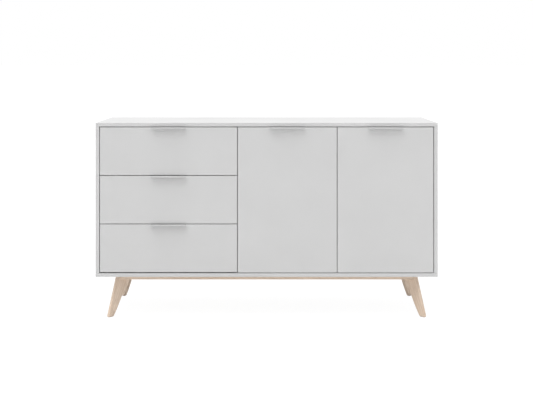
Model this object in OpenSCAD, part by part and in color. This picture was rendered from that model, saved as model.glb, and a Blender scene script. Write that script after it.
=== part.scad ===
// Sideboard with three drawers, two hinged doors and a splayed wooden base.
// Millimetres. Z = 0 is the floor, the fronts face -Y, and X = Y = 0 is the middle of the whole outline.

/* [Body] */
// Width of the body
body_w = 1500; // [1240:10:1840]
// Depth of the body, from the fronts to the back edge
body_d = 400; // [330:5:500]
// Height of the body without its base
body_h = 675; // [560:5:820]
// Height of the underside of the body above the floor
base_h = 182; // [150:1:240]
// Thickness of the body boards
board = 16; // [15:1:22]
// Thickness of the drawer fronts and doors
front_t = 16; // [15:1:22]
// Thickness of the back sheets and drawer bottoms
sheet_t = 3; // [3:0.5:5]
// How far the back sheets stand in from the back edge
sheet_in = 10; // [8:1:20]
// Depth of every groove that holds a sheet
groove = 6; // [4:1:8]

/* [Bays] */
// Clear width of the drawer bay
drawer_bay_w = 598; // [480:1:700]
// Clear width of the left door bay
left_bay_w = 421; // [340:1:480]
// Gap around every front
gap = 3; // [2.5:0.5:4]
// Gap under the lowest drawer
low_gap = 5; // [3:0.5:8]
// How far the dividers stand back behind the fronts
divider_back = 8; // [8:1:20]
// How far the shelves stand back behind the dividers
shelf_back = 40; // [30:1:80]
// Clearance at each end of a shelf
shelf_gap = 1; // [0.5:0.5:2]
// Radius of a shelf pin
shelf_pin_r = 2.5; // [2:0.5:3]

/* [Handles] */
// Length of a handle
handle_w = 155; // [120:5:200]
// How far a handle stands out from its front
handle_out = 15; // [10:1:28]
// Thickness of the handle's metal
handle_t = 1.2; // [1:0.1:2]
// Height of the lip at the handle's outer edge
lip_h = 6.5; // [5:0.5:14]
// Height of the flange behind the front
flange_h = 24; // [18:1:40]
// Radius of the lip's lower corners
lip_r = 2.5; // [1:0.5:4]

/* [Base] */
// Thickness of a leg
leg_t = 16; // [14:1:28]
// Width of a leg at the floor
foot_w = 27; // [20:1:36]
// Width of a leg at the top
leg_top_w = 57; // [44:1:72]
// How far a leg leans along its diagonal
leg_lean = 50; // [20:1:70]
// How far the inner edge of a leg bows outwards
leg_bow = 7; // [0:0.5:10]
// How far a foot stands in from the side of the body
foot_in_x = 45; // [30:1:90]
// How far a foot stands in from the front and the back of the body
foot_in_y = 12; // [5:1:40]
// Width of a base rail
rail_w = 22; // [18:1:26]
// Height of a base rail
rail_h = 25; // [20:1:40]
// Thickness of the glide under a foot
glide_h = 2; // [2:0.5:6]

/* [Drawers] */
// Thickness of the drawer box sides and back
box_t = 12; // [10:1:15]
// Height of a box's lower edge above the lower edge of its front
box_up = 20; // [16:1:30]
// Height of a front above the upper edge of its box
box_down = 40; // [30:1:60]
// Space that a runner takes beside the box
runner_w = 12.7; // [12.5:0.1:13.5]
// Height of a runner
runner_h = 45; // [40:1:46]
// Length of runner that stays engaged when a drawer is fully out
runner_keep = 25; // [20:5:100]

/* [Hinges] */
// Distance from a door's end to its hinges
hinge_in = 100; // [80:5:140]
// Distance of the hinge axis from the door's edge
axis_u = 12.5; // [12:0.5:14]
// Radius of the hinge cup
cup_r = 17.5; // [17.5:0.5:20]
// Depth of the hinge cup in the door
cup_deep = 12.5; // [12:0.5:13]
// Radius of the hinge pin
pin_r = 1.5; // [1.2:0.1:1.8]
// Radial running clearance of the pin in its arm
pin_play = 0.1; // [0.05:0.01:0.1]

/* [Hidden] */
$fn = 48;

paint_body = [0.80, 0.80, 0.80];
paint_front = [0.80, 0.80, 0.80];
paint_handle = [0.75, 0.75, 0.75];
oak = [0.82, 0.72, 0.62];
melamine = [0.90, 0.90, 0.88];
steel = [0.70, 0.71, 0.73];
plastic = [0.93, 0.93, 0.92];
over = 1; // how far a cut runs past the face it opens

// Body planes
x_side = body_w / 2;
x_in = x_side - board;
x_div_l = -x_in + drawer_bay_w + board / 2;
x_div_r = x_div_l + board + left_bay_w;
y_front = (handle_out - body_d) / 2;
y_back = y_front + body_d;
y_mid = (y_front + y_back) / 2;
y_in = y_front + front_t;
y_div = y_in + divider_back;
y_sheet = y_back - sheet_in - sheet_t;
z_in = base_h + board;
z_ceil = base_h + body_h - board;
inner_h = z_ceil - z_in;

// Drawer and door fronts
drawers = 3;
drawer_x0 = -x_in + gap;
drawer_x1 = x_div_l - gap / 2;
front_h = (inner_h - low_gap - drawers * gap) / drawers;
door_z0 = z_in + gap;
door_h = inner_h - 2 * gap;
door_l_x0 = x_div_l + gap / 2;
door_l_x1 = x_div_r - gap / 2;
door_r_x0 = x_div_r + gap / 2;
door_r_x1 = x_in - gap;

// Lower edge of the front of drawer i, counted from the top
function front_z(i) = z_in + low_gap + (drawers - 1 - i) * (front_h + gap);

// Drawer boxes and runners: the longest standard runner, in steps of 50, that fits
runner_step = 50;
runner_len = floor((y_sheet - y_div - 5) / runner_step) * runner_step;
travel = runner_len - runner_keep;
box_x0 = -x_in + runner_w;
box_x1 = x_div_l - board / 2 - runner_w;
box_len = divider_back + runner_len;
box_h = front_h - box_up - box_down;
sheet_up = 10;
runner_up = 45;
metal = 1.2;

// Shelves
shelf_z = z_in + inner_h / 2;
shelf_y0 = y_div + shelf_back;
shelf_y1 = y_sheet - 2;
pin_in = 40;
pin_out = 9;
pin_deep = 8;

// Cam fittings that join the upright boards to the top and bottom panels
cam_r = 7.5;
cam_deep = 12.5;
cam_up = 34;
cam_in = 55;
bolt_r = 3;
bolt_hole_r = 4;
thread_r = 2.5;
thread_deep = 11;
cam_ys = [y_div + cam_in, y_sheet - cam_in];

// Legs: s runs along the diagonal from the outer edge of the foot inwards, f is the height fraction
root2 = sqrt(2);
leg_h = base_h - glide_h;
leg_x = x_side - foot_in_x - leg_t / 2 / root2;
leg_y = body_d / 2 - foot_in_y - leg_t / 2 / root2;
leg_steps = 14;
leg_bolt_r = 4;
leg_bolt_down = 32;
leg_bolt_up = 11;
function edge_out(f) = leg_lean * f;
function edge_in(f) = foot_w + (leg_lean + leg_top_w - foot_w) * f + 4 * leg_bow * f * (1 - f);

// Rails butt against the broad faces of the legs, half way up the rail
rail_f = 1 - rail_h / 2 / leg_h;
rail_s = (edge_out(rail_f) + edge_in(rail_f)) / 2;
rail_x = leg_x - rail_s / root2 + leg_t / 2 / root2;
rail_y = leg_y - rail_s / root2 + leg_t / 2 / root2;
leg_face = leg_t / root2;

// Hinges: u runs inwards from the door's edge, v runs back from its front face
cup_u = 4.5 + cup_r;
cup_wall = 1.2;
cup_floor = 0.8;
flange_t = 1;
arm_t = 2.5;
arm_h = 12;
knuckle_r = 3;
knuckle_clear = 0.7;
axis_v = front_t - cup_deep + cup_floor + knuckle_clear + knuckle_r;
swing_play = 0.5;
plate_t = 2;
arm_reach = 12.5;
arm_clear = 8;
arm_len = 38;
hinge_zs = [door_z0 + hinge_in, door_z0 + door_h - hinge_in];
face_l = board / 2 - gap / 2;
face_r = -gap;

// --- Shared shapes ---

// A box given by its two opposite corners
module block(low, high) {
    translate(low) cube(high - low);
}

// A rod along Z from z0 to z1
module rod(r, z0, z1) {
    translate([0, 0, z0]) cylinder(r = r, h = z1 - z0);
}

// One edge of a strip that follows the points, at distance d from them, with mitred corners
function across(v) = [-v[1], v[0]] / norm(v);
function strip_edge(points, d) = [
    for (k = [0 : len(points) - 1])
        let (last = len(points) - 1, a = max(k, 1), b = min(k + 1, last))
        let (m = across(points[a] - points[a - 1]) + across(points[b] - points[b - 1]))
        points[k] + m * 2 * d / (m * m)
];
function reversed(points) = [for (k = [len(points) - 1 : -1 : 0]) points[k]];

// Places its children at the foot of each leg in turn: 0 front left, 1 front right, 2 back left, 3 back right
module at_leg(i) {
    translate([0, y_mid, glide_h]) mirror([1 - i % 2, 0, 0]) mirror([0, i < 2 ? 1 : 0, 0])
        translate([leg_x, leg_y, 0]) rotate([0, 0, -135]) children();
}

// --- Body ---

// Grooves for the back sheets, cut from the inside of the body
module sheet_grooves() {
    block([-x_in - groove, y_sheet, z_in - groove], [x_in + groove, y_sheet + sheet_t, z_ceil + groove]);
}

// Holes for the cam bolts' threads in the panel that closes the end at height z, up is 1 or -1
module thread_holes(z, up) {
    for (x = cam_xs(), y = cam_ys)
        translate([x, y, z]) rod(thread_r, up > 0 ? 0 : -thread_deep, up > 0 ? thread_deep : 0);
}

// Middle planes of the four upright boards
function cam_xs() = [-x_side + board / 2, x_div_l, x_div_r, x_side - board / 2];

module leg_bolt_holes() {
    for (i = [0 : 3])
        at_leg(i) translate([leg_lean + leg_top_w / 2, 0, 0])
            rod(leg_bolt_r, leg_h - leg_bolt_down, leg_h + leg_bolt_up);
}

module top_panel() {
    color(paint_body) difference() {
        block([-x_side, y_front, z_ceil], [x_side, y_back, z_ceil + board]);
        sheet_grooves();
        thread_holes(z_ceil, 1);
    }
}

module bottom_panel() {
    color(paint_body) difference() {
        block([-x_side, y_front, base_h], [x_side, y_back, z_in]);
        sheet_grooves();
        thread_holes(z_in, -1);
        leg_bolt_holes();
    }
}

// Bores for the cams and bolts of the upright board at x, whose cams open on the side that dir points to
module cam_holes(x, dir) {
    for (y = cam_ys, end = [0, 1]) {
        z = end == 0 ? z_in + cam_up : z_ceil - cam_up;
        translate([x + dir * board / 2, y, z]) rotate([0, -90 * dir, 0]) rod(cam_r, 0, cam_deep);
        translate([x, y, 0]) rod(bolt_hole_r, end == 0 ? z_in : z, end == 0 ? z : z_ceil);
    }
}

// Holes for the shelf pins in the face of an upright board at x, that dir points away from
module pin_holes(x, dir) {
    for (y = pin_ys())
        translate([x, y, shelf_z - board / 2 - shelf_pin_r]) rotate([0, -90 * dir, 0])
            rod(shelf_pin_r, 0, pin_deep);
}

function pin_ys() = [shelf_y0 + pin_in, shelf_y1 - pin_in];

module side(x, dir) {
    color(paint_body) difference() {
        block([x - board / 2, y_front, z_in], [x + board / 2, y_back, z_ceil]);
        sheet_grooves();
        cam_holes(x, dir);
        if (dir < 0) pin_holes(x - board / 2, dir);
    }
}

module side_left() {
    side(-x_side + board / 2, 1);
}

module side_right() {
    side(x_side - board / 2, -1);
}

module divider(x) {
    color(paint_body) difference() {
        block([x - board / 2, y_div, z_in], [x + board / 2, y_sheet, z_ceil]);
        cam_holes(x, -1);
        pin_holes(x + board / 2, 1);
        if (x > x_div_l) pin_holes(x - board / 2, -1);
    }
}

module divider_left() {
    divider(x_div_l);
}

module divider_right() {
    divider(x_div_r);
}

module back_sheet(x0, x1) {
    play = 0.5;
    color(melamine)
        block([x0 + play, y_sheet, z_in - groove + play], [x1 - play, y_sheet + sheet_t, z_ceil + groove - play]);
}

module back_sheet_left() {
    back_sheet(-x_in - groove, x_div_l);
}

module back_sheet_right() {
    back_sheet(x_div_l, x_in + groove);
}

module shelf(x0, x1) {
    color(melamine)
        block([x0 + shelf_gap, shelf_y0, shelf_z - board / 2], [x1 - shelf_gap, shelf_y1, shelf_z + board / 2]);
}

module shelf_left() {
    shelf(x_div_l + board / 2, x_div_r - board / 2);
}

module shelf_right() {
    shelf(x_div_r + board / 2, x_in);
}

// Each pin runs from the bottom of its hole to under the shelf
module shelf_pins() {
    color(steel) for (y = pin_ys(), wall = [[x_div_l, 1], [x_div_r, -1], [x_div_r, 1], [x_side - board / 2, -1]])
        translate([wall[0] + wall[1] * board / 2, y, shelf_z - board / 2 - shelf_pin_r])
            rotate([0, 90 * wall[1], 0]) rod(shelf_pin_r, -pin_deep, pin_out);
}

module cam_locks() {
    slot_w = 1.5;
    slot_l = 8;
    slot_deep = 2;
    color(steel) for (k = [0 : 3], y = cam_ys, z = [z_in + cam_up, z_ceil - cam_up]) {
        dir = k == 0 ? 1 : -1;
        translate([cam_xs()[k] + dir * board / 2, y, z]) rotate([0, -90 * dir, 0]) difference() {
            rod(cam_r, 0, cam_deep);
            for (a = [0, 90])
                rotate([0, 0, a]) block([-slot_l / 2, -slot_w / 2, -over], [slot_l / 2, slot_w / 2, slot_deep]);
            translate([0, 0, board / 2]) rotate([0, 90, 0]) rod(bolt_r, -cam_r - over, cam_r + over);
        }
    }
}

// The shank ends in the middle of its cam, and the thread goes into the panel
module cam_bolts() {
    color(steel) for (x = cam_xs(), y = cam_ys) translate([x, y, 0]) {
        rod(bolt_r, z_in, z_in + cam_up);
        rod(thread_r, z_in - thread_deep, z_in);
        rod(bolt_r, z_ceil - cam_up, z_ceil);
        rod(thread_r, z_ceil, z_ceil + thread_deep);
    }
}

// --- Base ---

// The broad sides of a leg are upright planes along the diagonal of the body
module leg(i) {
    outline = concat(
        [[0, 0]],
        [for (k = [0 : leg_steps]) [edge_in(k / leg_steps), leg_h * k / leg_steps]],
        [[edge_out(1), leg_h]]
    );
    color(oak) difference() {
        at_leg(i) rotate([90, 0, 0]) translate([0, 0, -leg_t / 2]) linear_extrude(leg_t) polygon(outline);
        leg_bolt_holes();
    }
}

module leg_front_left() {
    leg(0);
}

module leg_front_right() {
    leg(1);
}

module leg_back_left() {
    leg(2);
}

module leg_back_right() {
    leg(3);
}

module leg_bolts() {
    color(steel) leg_bolt_holes();
}

module leg_glides() {
    edge = 2;
    color(plastic) for (i = [0 : 3])
        at_leg(i) block([edge, -leg_t / 2 + edge, -glide_h], [foot_w - edge, leg_t / 2 - edge, 0]);
}

// A rail along X at the side that dir points to, with ends cut to the legs' faces
module rail_long(dir) {
    end = leg_x - leg_y - leg_face;
    ys = [rail_y - rail_w / 2, rail_y + rail_w / 2];
    color(oak) translate([0, y_mid, base_h - rail_h]) mirror([0, dir < 0 ? 1 : 0, 0]) linear_extrude(rail_h)
        polygon([[-end - ys[0], ys[0]], [end + ys[0], ys[0]], [end + ys[1], ys[1]], [-end - ys[1], ys[1]]]);
}

// A rail along Y at the side that dir points to
module rail_short(dir) {
    end = leg_y - leg_x - leg_face;
    xs = [rail_x - rail_w / 2, rail_x + rail_w / 2];
    color(oak) translate([0, y_mid, base_h - rail_h]) mirror([dir < 0 ? 1 : 0, 0, 0]) linear_extrude(rail_h)
        polygon([[xs[0], -end - xs[0]], [xs[1], -end - xs[1]], [xs[1], end + xs[1]], [xs[0], end + xs[0]]]);
}

module rail_front() {
    rail_long(-1);
}

module rail_back() {
    rail_long(1);
}

module rail_left() {
    rail_short(-1);
}

module rail_right() {
    rail_short(1);
}

// --- Handles ---

// The rebate in the top edge of a front that a handle lies in
module handle_rebate(x, z) {
    block([x - handle_w / 2, y_front - over, z - handle_t], [x + handle_w / 2, y_in + over, z + over]);
}

// A bent strip that hooks over a front and lies flush with its top edge, which is at height z and whose middle is at x
module handle(x, z) {
    color(paint_handle) translate([x, y_front, z - handle_t]) {
        block([-handle_w / 2, -handle_out, 0], [handle_w / 2, front_t + handle_t, handle_t]);
        block([-handle_w / 2, front_t, -flange_h], [handle_w / 2, front_t + handle_t, 0]);
        translate([0, -handle_out + handle_t, handle_t - lip_h]) rotate([90, 0, 0]) linear_extrude(handle_t) {
            translate([-handle_w / 2, lip_r]) square([handle_w, lip_h - lip_r]);
            translate([-handle_w / 2 + lip_r, 0]) square([handle_w - 2 * lip_r, lip_r]);
            for (s = [-1, 1]) translate([s * (handle_w / 2 - lip_r), lip_r]) circle(r = lip_r);
        }
    }
}

// --- Doors ---

// Places its children in the hinge frame of both hinges of a door: side is -1 for the left door, 1 for the right
module at_hinges(side) {
    for (z = hinge_zs)
        translate([side < 0 ? door_l_x0 : door_r_x1, y_front, z]) mirror([side < 0 ? 0 : 1, 0, 0]) children();
}

module cup_hole() {
    translate([cup_u, front_t, 0]) rotate([90, 0, 0]) rod(cup_r, 0, cup_deep);
}

// A cup with its flange on the door's back and the pin that the arm turns on
module hinge_cup() {
    wing_w = 14;
    wing_h = 52;
    screw_r = 3.5;
    screw_up = 21.5;
    difference() {
        union() {
            cup_hole();
            block([cup_u - wing_w / 2, front_t, -wing_h / 2], [cup_u + wing_w / 2, front_t + flange_t, wing_h / 2]);
            translate([cup_u, front_t, 0]) rotate([-90, 0, 0]) rod(cup_r + 1, 0, flange_t);
        }
        translate([cup_u, front_t, 0]) rotate([90, 0, 0])
            rod(cup_r - cup_wall, -flange_t - over, cup_deep - cup_floor);
    }
    for (s = [-1, 1])
        translate([cup_u, front_t + flange_t, s * screw_up]) rotate([-90, 0, 0]) rod(screw_r, 0, flange_t);
    reach = sqrt(pow(cup_r - cup_wall, 2) - pow(cup_u - axis_u, 2)) + cup_wall / 2;
    translate([axis_u, axis_v, 0]) rod(pin_r, -reach, reach);
}

// A gooseneck arm from the face at u = face to the pin, with its root on the mounting plate
module hinge_arm(face) {
    root = face + plate_t + arm_t / 2;
    heel_v = front_t + divider_back + 12;
    line = [
        [axis_u, axis_v],
        [axis_u + arm_reach, axis_v + 2],
        [axis_u + arm_reach + 2, front_t + arm_clear],
        [root, heel_v],
        [root, heel_v + arm_len]
    ];
    difference() {
        union() {
            translate([axis_u, axis_v, 0]) rod(knuckle_r, -arm_h / 2, arm_h / 2);
            translate([0, 0, -arm_h / 2]) linear_extrude(arm_h)
                polygon(concat(strip_edge(line, arm_t / 2), reversed(strip_edge(line, -arm_t / 2))));
        }
        translate([axis_u, axis_v, 0]) rod(pin_r + pin_play, -arm_h, arm_h);
    }
}

// A mounting plate with a screw head above and below the arm
module hinge_plate(face) {
    plate_h = 46;
    plate_len = 26;
    y0 = front_t + divider_back + 18;
    block([face, y0, -plate_h / 2], [face + plate_t, y0 + plate_len, plate_h / 2]);
    for (s = [-1, 1])
        translate([face + plate_t, y0 + plate_len / 2, s * (plate_h / 2 - 7)]) rotate([0, 90, 0]) rod(4, 0, 1.5);
}

module hinge_arms() {
    color(steel) {
        at_hinges(-1) hinge_arm(face_l);
        at_hinges(1) hinge_arm(face_r);
    }
}

module hinge_plates() {
    color(steel) {
        at_hinges(-1) hinge_plate(face_l);
        at_hinges(1) hinge_plate(face_r);
    }
}

// Stops on the right divider that both doors close against
module door_stops() {
    stop_h = 30;
    stop_play = 0.5;
    color(plastic) for (z = hinge_zs)
        block([x_div_r - board / 2, y_in + stop_play, z - stop_h / 2], [x_div_r + board / 2, y_div, z + stop_h / 2]);
}

// What the front corner of a thick door loses on the hinge side, so that it swings clear of the front beside it
module swing_relief(side) {
    z0 = door_z0 - over;
    z1 = door_z0 + door_h + over;
    translate([side < 0 ? door_l_x0 : door_r_x1, y_front, 0]) mirror([side < 0 ? 0 : 1, 0, 0]) difference() {
        block([-over, -over, z0], [axis_u, axis_v, z1]);
        translate([axis_u, axis_v, 0]) rod(axis_u + gap - swing_play, z0 - over, z1 + over);
    }
}

module door_panel(side, x0, x1) {
    color(paint_front) difference() {
        block([x0, y_front, door_z0], [x1, y_in, door_z0 + door_h]);
        at_hinges(side) cup_hole();
        swing_relief(side);
        handle_rebate((x0 + x1) / 2, door_z0 + door_h);
    }
}

module door_left_panel() {
    door_panel(-1, door_l_x0, door_l_x1);
}

module door_left_handle() {
    handle((door_l_x0 + door_l_x1) / 2, door_z0 + door_h);
}

module door_left_hinge_cups() {
    color(steel) at_hinges(-1) hinge_cup();
}

module door_right_panel() {
    door_panel(1, door_r_x0, door_r_x1);
}

module door_right_handle() {
    handle((door_r_x0 + door_r_x1) / 2, door_z0 + door_h);
}

module door_right_hinge_cups() {
    color(steel) at_hinges(1) hinge_cup();
}

// --- Drawers ---

// The bottom sheet of drawer i, which its grooves are cut from
module bottom_sheet(i) {
    z = front_z(i) + box_up + sheet_up;
    block([box_x0 + box_t - groove, y_in - groove, z], [box_x1 - box_t + groove, y_in + box_len, z + sheet_t]);
}

module drawer_front(i) {
    color(paint_front) difference() {
        block([drawer_x0, y_front, front_z(i)], [drawer_x1, y_in, front_z(i) + front_h]);
        bottom_sheet(i);
        handle_rebate((drawer_x0 + drawer_x1) / 2, front_z(i) + front_h);
    }
}

module drawer_handle(i) {
    handle((drawer_x0 + drawer_x1) / 2, front_z(i) + front_h);
}

module drawer_side(i, x) {
    color(melamine) difference() {
        block([x, y_in, front_z(i) + box_up], [x + box_t, y_in + box_len, front_z(i) + box_up + box_h]);
        bottom_sheet(i);
    }
}

module drawer_back(i) {
    z = front_z(i) + box_up;
    y = y_in + box_len;
    color(melamine) block([box_x0 + box_t, y - box_t, z + sheet_up + sheet_t], [box_x1 - box_t, y, z + box_h]);
}

module drawer_bottom(i) {
    color(melamine) bottom_sheet(i);
}

// Places a runner member at both sides of drawer i, with x running from the bay's wall to the box
module at_runners(i) {
    z = front_z(i) + box_up + runner_up;
    translate([-x_in, y_div, z]) children();
    translate([x_div_l - board / 2, y_div, z]) mirror([1, 0, 0]) children();
}

// A length of channel between x0 and x1, open at the side or sides without a web
module channel(x0, x1, h, web0, web1) {
    difference() {
        block([x0, 0, -h / 2], [x1, runner_len, h / 2]);
        if (web0 > x0) block([x0 - over, -over, metal - h / 2], [web0, runner_len + over, h / 2 - metal]);
        if (web1 < x1) block([web1, -over, metal - h / 2], [x1 + over, runner_len + over, h / 2 - metal]);
    }
}

module runner_fixed(i) {
    at_runners(i) channel(0, runner_w - 2.2, runner_h, 0, metal);
}

module runner_middle(i) {
    web = runner_w / 2;
    color(steel) at_runners(i) channel(metal + 0.7, runner_w - 1.7, runner_h - 11, web, web + metal);
}

module runner_inner(i) {
    color(steel) at_runners(i) channel(runner_w - 4.3, runner_w, runner_h - 20.6, runner_w - metal, runner_w);
}

module runner_rails_fixed() {
    color(steel) for (i = [0 : drawers - 1]) runner_fixed(i);
}

top_panel();
bottom_panel();
side_left();
side_right();
divider_left();
divider_right();
back_sheet_left();
back_sheet_right();
shelf_left();
shelf_right();
shelf_pins();
cam_locks();
cam_bolts();
rail_front();
rail_back();
rail_left();
rail_right();
leg_front_left();
leg_front_right();
leg_back_left();
leg_back_right();
leg_bolts();
leg_glides();
runner_rails_fixed();
hinge_arms();
hinge_plates();
door_stops();
door_left_panel();
door_left_handle();
door_left_hinge_cups();
door_right_panel();
door_right_handle();
door_right_hinge_cups();
drawer_front(0);  // drawer_top_front
drawer_handle(0);  // drawer_top_handle
drawer_side(0, box_x0);  // drawer_top_side_left
drawer_side(0, box_x1 - box_t);  // drawer_top_side_right
drawer_back(0);  // drawer_top_back
drawer_bottom(0);  // drawer_top_bottom
runner_middle(0);  // drawer_top_runner_middle
runner_inner(0);  // drawer_top_runner_inner
drawer_front(1);  // drawer_middle_front
drawer_handle(1);  // drawer_middle_handle
drawer_side(1, box_x0);  // drawer_middle_side_left
drawer_side(1, box_x1 - box_t);  // drawer_middle_side_right
drawer_back(1);  // drawer_middle_back
drawer_bottom(1);  // drawer_middle_bottom
runner_middle(1);  // drawer_middle_runner_middle
runner_inner(1);  // drawer_middle_runner_inner
drawer_front(2);  // drawer_bottom_front
drawer_handle(2);  // drawer_bottom_handle
drawer_side(2, box_x0);  // drawer_bottom_side_left
drawer_side(2, box_x1 - box_t);  // drawer_bottom_side_right
drawer_back(2);  // drawer_bottom_back
drawer_bottom(2);  // drawer_bottom_bottom
runner_middle(2);  // drawer_bottom_runner_middle
runner_inner(2);  // drawer_bottom_runner_inner
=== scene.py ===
"""A matt grey sideboard with three drawers, two doors and a splayed oak base."""

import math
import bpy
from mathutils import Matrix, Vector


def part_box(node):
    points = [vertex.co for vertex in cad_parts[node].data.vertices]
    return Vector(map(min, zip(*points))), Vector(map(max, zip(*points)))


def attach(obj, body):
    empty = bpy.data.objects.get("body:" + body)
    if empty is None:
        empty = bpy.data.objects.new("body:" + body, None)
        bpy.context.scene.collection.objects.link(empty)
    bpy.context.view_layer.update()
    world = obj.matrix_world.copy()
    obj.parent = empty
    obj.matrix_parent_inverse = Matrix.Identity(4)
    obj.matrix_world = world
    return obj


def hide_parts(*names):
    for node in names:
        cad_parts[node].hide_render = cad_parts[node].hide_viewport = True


bl_info = {
    "name": "Sideboard finishes",
    "version": (1, 0, 0),
    "blender": (4, 5, 0),
    "location": "3D View > Sidebar > Sideboard",
    "description": "Boards, fronts, handles, base, drawers, runners, hinges and stage of a sideboard",
    "category": "Object",
}

import bmesh
import bpy
from mathutils import Matrix, Vector

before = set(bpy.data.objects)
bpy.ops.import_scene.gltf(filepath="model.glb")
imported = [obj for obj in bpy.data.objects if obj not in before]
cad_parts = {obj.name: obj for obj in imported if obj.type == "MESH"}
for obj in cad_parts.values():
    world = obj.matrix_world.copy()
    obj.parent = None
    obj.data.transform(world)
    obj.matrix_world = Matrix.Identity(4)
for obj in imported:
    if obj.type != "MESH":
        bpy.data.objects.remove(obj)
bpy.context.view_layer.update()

MM = 0.001
DRAWERS = ("drawer_top", "drawer_middle", "drawer_bottom")
DOORS = ("door_left", "door_right")
BODY_BOARDS = ("top_panel", "bottom_panel", "side_left", "side_right", "divider_left", "divider_right")
LEGS = {
    "leg_front_left": (-1, -1),
    "leg_front_right": (1, -1),
    "leg_back_left": (-1, 1),
    "leg_back_right": (1, 1),
}
LONG_RAILS = ("rail_front", "rail_back")
SHORT_RAILS = ("rail_left", "rail_right")
DIAGONAL = math.sqrt(0.5)
# How far a leg's middle line runs inwards along the diagonal, from its foot to its top
LEG_LEAN = 70 * MM
# Corners closer than this are the same corner
WELD_WITHIN = 0.005 * MM
# Faces that meet at less than this angle are one flat face
FLAT_WITHIN = math.radians(0.2)
# Edges sharper than this stay sharp in the shading
SHARP_OVER = math.radians(35)
# Edges sharper than this are rounded
ROUND_OVER = math.radians(40)
# Sides of a turned form
TURNED_SIDES = 32


# --- Colours and materials ---


def linear(hex_colour):
    """Linear red, green and blue of an sRGB hex colour."""
    values = [int(hex_colour[k:k + 2], 16) / 255 for k in (1, 3, 5)]
    return tuple(v / 12.92 if v <= 0.04045 else ((v + 0.055) / 1.055) ** 2.4 for v in values)


def shade(colour, amount):
    """The colour made lighter or darker, with its alpha."""
    return (colour[0] * amount, colour[1] * amount, colour[2] * amount, 1.0)


def per(size_mm):
    """Texture scale whose features are about this many millimetres across."""
    return 1.0 / (size_mm * MM)


def add_node(tree, kind, settings=None, inputs=None):
    """Adds a node, sets its properties and fills its inputs with values or links."""
    node = tree.nodes.new(kind)
    for name, value in (settings or {}).items():
        setattr(node, name, value)
    for name, value in (inputs or {}).items():
        socket = next(s for s in node.inputs if s.identifier == name)
        if isinstance(value, bpy.types.NodeSocket):
            tree.links.new(value, socket)
        else:
            socket.default_value = value
    return node


def output_of(node):
    """The node's first output that is in use."""
    return next(s for s in node.outputs if s.enabled)


def start_material(name):
    """An empty material with the object's own coordinates in metres."""
    material = bpy.data.materials.new(name)
    material.use_nodes = True
    tree = material.node_tree
    tree.nodes.clear()
    place = add_node(tree, "ShaderNodeTexCoord").outputs["Object"]
    return material, tree, place


def end_material(tree, height, relief_mm, inputs):
    """Closes a material with its relief, its shader and its output."""
    bump = add_node(
        tree, "ShaderNodeBump", {}, {"Height": height, "Strength": 1.0, "Distance": relief_mm * MM}
    )
    shader = add_node(tree, "ShaderNodeBsdfPrincipled", {}, {"Normal": bump.outputs[0], **inputs})
    add_node(tree, "ShaderNodeOutputMaterial", {}, {"Surface": shader.outputs[0]})


def matt_lacquer(name, colour):
    """Board sprayed with matt lacquer: an even, slightly cloudy colour and a wide, dull highlight."""
    material, tree, place = start_material(name)
    # Sprayed coats overlap in clouds about 180 mm across
    clouds = add_node(tree, "ShaderNodeTexNoise", {}, {"Vector": place, "Scale": per(180), "Detail": 3.0})
    cloud = add_node(
        tree, "ShaderNodeMapRange", {}, {"Value": clouds.outputs[0], "From Min": 0.3, "From Max": 0.7}
    )
    # Orange peel is about 1 mm across, drawn 4 mm across so that it shows
    peel = add_node(tree, "ShaderNodeTexNoise", {}, {"Vector": place, "Scale": per(4), "Detail": 2.0})
    tone = add_node(
        tree, "ShaderNodeMix", {"data_type": "RGBA"},
        {"Factor_Float": cloud.outputs[0], "A_Color": shade(colour, 0.982), "B_Color": shade(colour, 1.012)},
    )
    speck = add_node(
        tree, "ShaderNodeMix", {"data_type": "RGBA"},
        {"Factor_Float": peel.outputs[0], "A_Color": shade((1, 1, 1), 0.985),
         "B_Color": shade((1, 1, 1), 1.0)},
    )
    mixed = add_node(
        tree, "ShaderNodeMix", {"data_type": "RGBA", "blend_type": "MULTIPLY"},
        {"Factor_Float": 1.0, "A_Color": output_of(tone), "B_Color": output_of(speck)},
    )
    dullness = add_node(
        tree, "ShaderNodeMapRange", {},
        {"Value": clouds.outputs[0], "From Min": 0.3, "From Max": 0.7, "To Min": 0.5, "To Max": 0.58},
    )
    end_material(
        tree, peel.outputs[0], 0.03,
        {"Base Color": output_of(mixed), "Roughness": dullness.outputs[0], "IOR": 1.5},
    )
    return material


def powder_coat(name, colour):
    """Bent steel with a satin powder coat: one even colour over a fine, pebbled skin."""
    material, tree, place = start_material(name)
    # The skin's pebbles are about 0.5 mm across, drawn 1.5 mm across so that they show
    pebbles = add_node(tree, "ShaderNodeTexVoronoi", {}, {"Vector": place, "Scale": per(1.5)})
    tone = add_node(
        tree, "ShaderNodeMix", {"data_type": "RGBA"},
        {"Factor_Float": pebbles.outputs[0], "A_Color": shade(colour, 1.02), "B_Color": shade(colour, 0.95)},
    )
    # Hands polish the coat in patches about 30 mm across
    rubbed = add_node(tree, "ShaderNodeTexNoise", {}, {"Vector": place, "Scale": per(30)})
    dullness = add_node(
        tree, "ShaderNodeMapRange", {},
        {"Value": rubbed.outputs[0], "From Min": 0.3, "From Max": 0.7, "To Min": 0.4, "To Max": 0.52},
    )
    end_material(
        tree, pebbles.outputs[0], 0.04,
        {"Base Color": output_of(tone), "Roughness": dullness.outputs[0], "IOR": 1.5},
    )
    return material


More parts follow.
